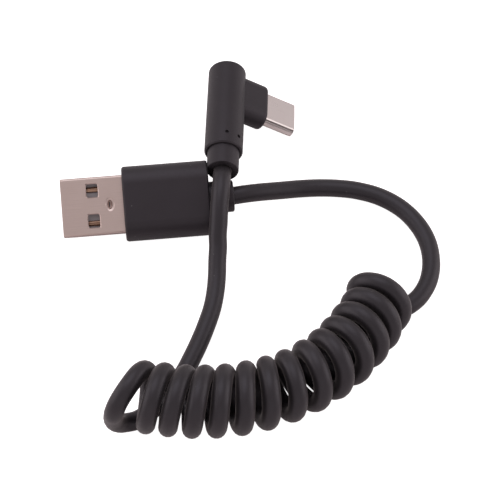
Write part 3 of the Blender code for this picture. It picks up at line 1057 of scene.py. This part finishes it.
@dataclass
class UsbCPlug:
    """The right-angle plug. Y runs along its round body towards the head, X out along the shell."""

    origin: Triple = (10.0, 14.18, 9.54)
    yaw: float = math.radians(-1.64)
    slope: float = math.radians(-2.8)
    dip: float = math.radians(30.59)
    radius: float = 4.05 * MM
    head: float = 6.2 * MM
    head_round: Pairs = ((0.0, 0.6 * MM), (0.05 * MM, 0.38 * MM), (0.18 * MM, 0.18 * MM),
                         (0.38 * MM, 0.05 * MM), (0.6 * MM, 0.0))
    tail: float = 16.6 * MM
    tail_round: Pairs = ((0.36 * MM, 0.0), (0.1 * MM, 0.24 * MM), (0.0, 0.45 * MM))
    boss_root: float = 1.0 * MM
    boss_reach: float = 9.2 * MM
    boss_width: float = 11.0 * MM
    boss_height: float = 5.2 * MM
    boss_round: float = 0.75 * MM
    shell_width: float = 8.25 * MM
    shell_height: float = 2.4 * MM
    shell_wall: float = 0.25 * MM
    shell_corner: float = 0.95 * MM
    shell_tip: float = 16.5 * MM
    crease_angle: float = math.radians(37.0)
    crease_radius: float = 0.15 * MM
    mark_radius: float = 0.42 * MM
    mark_depth: float = 0.4 * MM
    mark_back: float = 14.0 * MM
    mark_angle: float = math.radians(20.8)
    buried: float = 0.9 * MM
    pocket_flat: float = 0.005 * MM
    relief_gap: float = 0.3 * MM
    relief_radius: float = 3.35 * MM
    relief_length: float = 4.5 * MM
    relief_round: Pairs = ((0.0, 0.25 * MM), (0.08 * MM, 0.07 * MM), (0.25 * MM, 0.0))
    relief_hole_depth: float = 1.2 * MM
    relief_hole_edge: float = 0.1 * MM

    @property
    def place(self) -> Matrix:
        """Place of the plug's frame in the model."""
        return (Matrix.Translation(Vector(self.origin) * MM) @ Matrix.Rotation(self.yaw, 4, "Z")
                @ Matrix.Rotation(self.slope, 4, "X") @ Matrix.Rotation(self.dip, 4, "Y"))

    @property
    def crease_place(self) -> tuple[float, float]:
        """Distances of the shell's creases from its middle, across and up."""
        radius = self.shell_corner
        return (self.shell_width / 2 - radius + radius * math.sin(self.crease_angle),
                self.shell_height / 2 - radius + radius * math.cos(self.crease_angle))

    def body(self) -> Object:
        """Round body with its boss, the shell's pocket and two pin marks.

        Returns:
            The body's object.
        """
        shaft = turned([(0.0, -self.tail), *eased(self.radius, -self.tail, self.tail_round, 1),
                        *eased(self.radius, self.head, self.head_round, -1), (0.0, self.head)], 1, 72)
        body = new_object("usb_c_body", shaft, self.place)
        boss = slab(self.boss_reach - self.boss_root, self.boss_width, self.boss_height, self.boss_root,
                    self.boss_height / 2 - SHORT_OF_ROUND, 12)
        round_edges(boss, rim_edges(boss, self.boss_reach), self.boss_round, 5)
        height = self.shell_height + POCKET_CLEARANCE
        pocket = slab(POCKET_LENGTH, self.shell_width + POCKET_CLEARANCE, height,
                      self.boss_reach - self.buried, height / 2 - self.pocket_flat, 8)
        tools = [(Cut.JOIN, boss), (Cut.REMOVE, pocket)]
        for side in (-1, 1):
            pin = rod(self.mark_radius, self.radius - self.mark_depth, self.radius + OVERRUN, 20)
            turn = Matrix.Rotation(-(math.pi / 2 + side * self.mark_angle), 3, "Y")
            bmesh.ops.rotate(pin, cent=(0.0, 0.0, 0.0), matrix=turn, verts=pin.verts)
            bmesh.ops.translate(pin, vec=(0.0, -self.mark_back, 0.0), verts=pin.verts)
            tools.append((Cut.REMOVE, pin))
        carve(body, self.place, tools)
        return settle(body, width=0.08 * MM, segments=2, angle=42.0)

    def relief(self) -> Object:
        """Round strain relief that the cable comes out of.

        Returns:
            The relief's object.
        """
        start = -self.tail
        end = start - self.relief_gap - self.relief_length
        hole, edge, bottom = CABLE_HOLE / 2, self.relief_hole_edge, end + self.relief_hole_depth
        profile = [(0.0, start), (self.relief_radius, start),
                   *eased(self.relief_radius, end, self.relief_round, 1),
                   (hole + edge, end), (hole, end + edge), (hole, bottom), (0.0, bottom)]
        return settle(new_object("usb_c_relief", turned(profile, 1, 64), self.place))

    def shell(self) -> Object:
        """Drawn metal shell, open at its tip.

        Returns:
            The shell's object.
        """
        start = self.boss_reach - self.buried
        length = self.shell_tip - start
        bar = slab(length, self.shell_width, self.shell_height, start, self.shell_corner, 10)
        shell = new_object("usb_c_metal_shell", bar, self.place)
        bore = slab(length + 2 * OVERRUN, self.shell_width - 2 * self.shell_wall,
                    self.shell_height - 2 * self.shell_wall, start - OVERRUN,
                    self.shell_corner - self.shell_wall, 8)
        tools = [(Cut.REMOVE, bore)]
        across, up = self.crease_place
        for side, face in ((1, 1), (1, -1), (-1, 1), (-1, -1)):
            groove = rod(self.crease_radius, self.boss_reach, self.shell_tip + OVERRUN, 12)
            bmesh.ops.translate(groove, verts=groove.verts, vec=(0.0, side * across, face * up))
            tools.append((Cut.REMOVE, groove))
        carve(shell, self.place, tools)
        return settle(shell, width=0.1 * MM, segments=3, angle=62.0)


# Studio


@dataclass(frozen=True)
class Softbox:
    """One square soft light. Its place is relative to the camera's target, in metres."""

    name: str
    place: Triple
    size: float
    watts: float
    colour: Triple = (1.0, 1.0, 1.0)


@dataclass
class Studio:
    """Camera, pale floor and soft lights."""

    target: Triple = (15.09, -19.85, 0.0)
    distance: float = 350.0
    pixels_per_mm: float = 4.79
    floor_half: float = 2.0
    floor_drop: float = 0.02 * MM
    floor_colour: Triple = (0.80, 0.74, 0.74)
    floor_roughness: float = 0.9
    floor_glow: float = 0.9
    tent_colour: Triple = (1.0, 0.96, 0.97)
    tent_strength: float = 0.6
    softboxes: tuple[Softbox, ...] = (
        Softbox("softbox above", (-0.10, 0.18, 0.58), 0.52, 0.9, (0.88, 0.94, 1.0)),
        Softbox("softbox left", (-0.58, 0.05, 0.15), 0.60, 1.1),
        Softbox("softbox right", (0.58, 0.05, 0.15), 0.60, 1.1),
        Softbox("softbox front", (0.0, -0.62, 0.16), 0.60, 0.2))

    def camera(self) -> None:
        """Set up the camera at the photo's viewing angle."""
        data = bpy.data.cameras.new("camera")
        data.sensor_width = SENSOR_MM
        data.lens = self.pixels_per_mm * self.distance * SENSOR_MM / PICTURE
        data.clip_start = 0.01
        data.clip_end = 10.0
        camera = linked("camera", data)
        away = Vector((0.0, -math.cos(CAMERA_RISE), math.sin(CAMERA_RISE))) * self.distance
        camera.location = (Vector(self.target) + away) * MM
        camera.rotation_euler = (math.pi / 2 - CAMERA_RISE, 0.0, 0.0)
        bpy.context.scene.camera = camera

    def floor(self) -> None:
        """Lay a wide floor that the camera sees as white."""
        bm = bmesh.new()
        bmesh.ops.create_grid(bm, x_segments=1, y_segments=1, size=self.floor_half)
        floor = new_object("floor", bm, Matrix.Translation((0.0, 0.0, -self.floor_drop)))
        m = MaterialBuilder("studio white")
        plain = m.feed(m.bsdf, Base_Color=(*self.floor_colour, 1.0), Roughness=self.floor_roughness)[0]
        glow = m.feed(m.node("ShaderNodeEmission"), Strength=self.floor_glow)[0]
        both = m.feed(m.node("ShaderNodeAddShader"), plain, glow)[0]
        m.show_camera(both, plain, m.tree.nodes["Material Output"].inputs["Surface"])
        floor.data.materials.append(m.material)

    def light(self, box: Softbox) -> None:
        """Hang a softbox that points at the object."""
        data = bpy.data.lights.new(box.name, "AREA")
        data.shape = "SQUARE"
        data.size = box.size
        data.energy = box.watts
        data.color = box.colour
        lamp = linked(box.name, data)
        lamp.location = Vector(self.target) * MM + Vector(box.place)
        lamp.rotation_euler = (-Vector(box.place)).to_track_quat("-Z", "Y").to_euler()

    def surroundings(self) -> None:
        """Put a pale tent around the object that the camera sees as white."""
        world = bpy.data.worlds.new("surroundings")
        bpy.context.scene.world = world
        world.use_nodes = True
        w = Wiring(world.node_tree)
        tent = w.feed(w.tree.nodes["Background"], Color=(*self.tent_colour, 1.0), Strength=self.tent_strength)
        backdrop = w.feed(w.node("ShaderNodeBackground"), Color=(1.0, 1.0, 1.0, 1.0))
        w.show_camera(backdrop[0], tent[0], w.tree.nodes["World Output"].inputs["Surface"])

    def build(self) -> None:
        """Set up the camera, the floor, the lights and the surroundings."""
        bpy.context.scene.view_settings.view_transform = "Standard"
        self.camera()
        self.floor()
        for box in self.softboxes:
            self.light(box)
        self.surroundings()
        LOG.info("studio ready")


def main() -> None:
    """Build the studio, the cable and both plugs, and report each piece."""
    logging.basicConfig(level=logging.INFO, format="%(name)s: %(message)s")
    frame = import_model()
    Studio().build()
    groups = Groups()
    dresser = Dresser(frame["nodes"])
    usb_a, usb_c, cable = UsbAPlug(), UsbCPlug(), Cable()

    jacket = SoftRubber("cable jacket", dark=(0.0085, 0.0071, 0.0082), light=(0.0116, 0.0096, 0.0112),
                        roughness=0.42, grain_mm=0.18, lint=0.25, shine_tint=(1.0, 0.89, 0.98),
                        bloom=0.20, bloom_tint=(1.0, 0.86, 0.85)).build(groups)
    mould = SoftRubber("moulded rubber").build(groups)
    insulator = MouldedPlastic("insulating plastic").build(groups)
    steel_a = PlatedSteel("plated steel A", usb_a.place).build(groups)
    steel_c = PlatedSteel("plated steel C", usb_c.place, bright=(0.80, 0.71, 0.69), dull=(0.73, 0.64, 0.62),
                          # The painted dark reflection lines follow the shell's creases.
                          roughness=0.3, painted_reflection_mm=usb_c.crease_place[0] / MM).build(groups)
    gold_a = ContactGold("contact gold A", usb_a.place).build(groups)
    gold_c = ContactGold("contact gold C", usb_c.place).build(groups)

    cord = dresser.dress(cable.build(), jacket, Slot.RUBBER, "lead_a", "coil", "lead_c")
    dresser.dress(usb_a.shell(), steel_a, Slot.METAL_A, "usb_a_shell")
    dresser.dress(usb_a.grip(), mould, Slot.RUBBER, "usb_a_overmold")
    dresser.paint("usb_a_tongue", insulator)
    for number in range(1, len(usb_a.spring_starts) + 1):
        dresser.dress(usb_a.spring(number), gold_a, Slot.GOLD, f"usb_a_contact_{number}")
    far_pieces = [
        dresser.dress(usb_c.body(), mould, Slot.RUBBER, "usb_c_overmold"),
        dresser.dress(usb_c.relief(), mould, Slot.RUBBER, "usb_c_strain_relief"),
        dresser.dress(usb_c.shell(), steel_c, Slot.METAL_C, "usb_c_shell"),
        dresser.paint("usb_c_insert", insulator),
        dresser.paint("usb_c_contacts_upper", gold_c),
        dresser.paint("usb_c_contacts_lower", gold_c)]
    cable.route()[0]
    cable.length()
    LOG.info("cable length %.3f m", cable.length())


if __name__ == "__main__":
    main()
